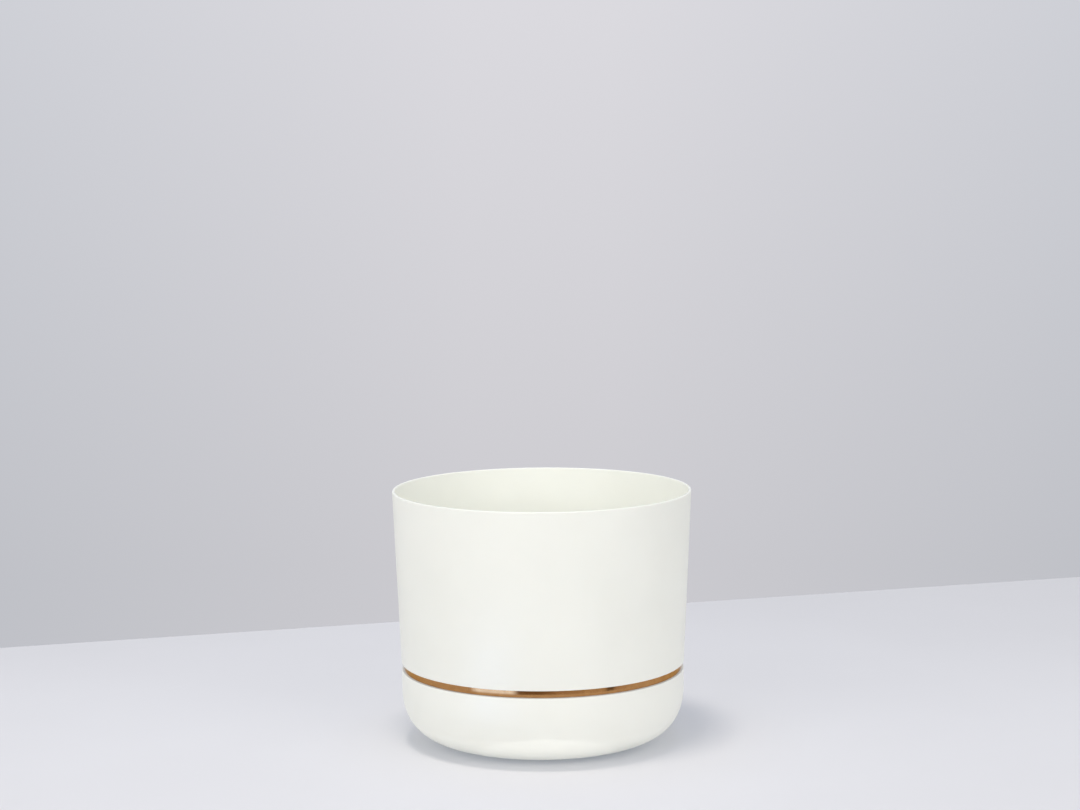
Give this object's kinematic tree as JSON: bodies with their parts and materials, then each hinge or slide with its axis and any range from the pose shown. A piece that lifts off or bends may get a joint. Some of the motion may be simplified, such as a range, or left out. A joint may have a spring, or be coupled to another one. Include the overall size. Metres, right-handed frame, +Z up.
{
  "type": "planter pot",
  "caption": "Round tapered plastic planter pot on a rounded reservoir saucer, with a brass strip in the recessed gap, lift-out wicking baskets, a filling flap and a water gauge.",
  "frame": {"origin": "on the pot's axis, on the surface that the planter stands on", "axes": "+Z up along the pot's axis, -Y the front that the picture shows, +Y the back with the filling flap, +X to the right seen from the front"},
  "size_m": [0.25, 0.25, 0.212],
  "materials": {
    "white_plastic": "satin moulded white plastic",
    "brass": "satin rolled brass strip",
    "grey_plastic": "matt grey plastic",
    "steel": "drawn stainless wire",
    "orange_foam": "matt orange plastic float",
    "clear_plastic": "clear moulded plastic",
    "rubber": "matt black rubber"
  },
  "bodies": {
    "saucer": {"reservoir_saucer": "white_plastic", "brass_band": "brass", "flap_pin": "steel", "flap_spring": "steel", "float_rod": "steel", "sight_lens": "clear_plastic", "rubber_foot_1": "rubber", "rubber_foot_2": "rubber", "rubber_foot_3": "rubber", "rubber_foot_4": "rubber"},
    "pot": {"pot_shell": "white_plastic"},
    "basket_1": {"wick_basket_1": "grey_plastic"},
    "basket_2": {"wick_basket_2": "grey_plastic"},
    "basket_3": {"wick_basket_3": "grey_plastic"},
    "flap": {"fill_flap": "white_plastic"},
    "float": {"water_float": "orange_foam"},
    "plug": {"drain_plug": "rubber"}
  },
  "joints": [
    {"name": "pot_lift", "type": "slide", "parent": "saucer", "child": "pot", "axis": [0, 0, 1], "range_m": [0, 0.08]},
    {"name": "basket_1_lift", "type": "slide", "parent": "pot", "child": "basket_1", "axis": [0, 0, 1], "range_m": [0, 0.21]},
    {"name": "basket_2_lift", "type": "slide", "parent": "pot", "child": "basket_2", "axis": [0, 0, 1], "range_m": [0, 0.21]},
    {"name": "basket_3_lift", "type": "slide", "parent": "pot", "child": "basket_3", "axis": [0, 0, 1], "range_m": [0, 0.21]},
    {"name": "flap_swing", "type": "hinge", "parent": "saucer", "child": "flap", "pos_m": [0, 0.1086, 0.0566], "axis": [-1, 0, 0], "range_deg": [0, 75], "stiffness_Nm_per_rad": 0.001, "springref_deg": -34.38},
    {"name": "float_rise", "type": "slide", "parent": "saucer", "child": "float", "axis": [0, 0, 1], "range_m": [0, 0.022]},
    {"name": "plug_pull", "type": "slide", "parent": "saucer", "child": "plug", "axis": [0, 0, -1], "range_m": [0, 0.03]}
  ]
}
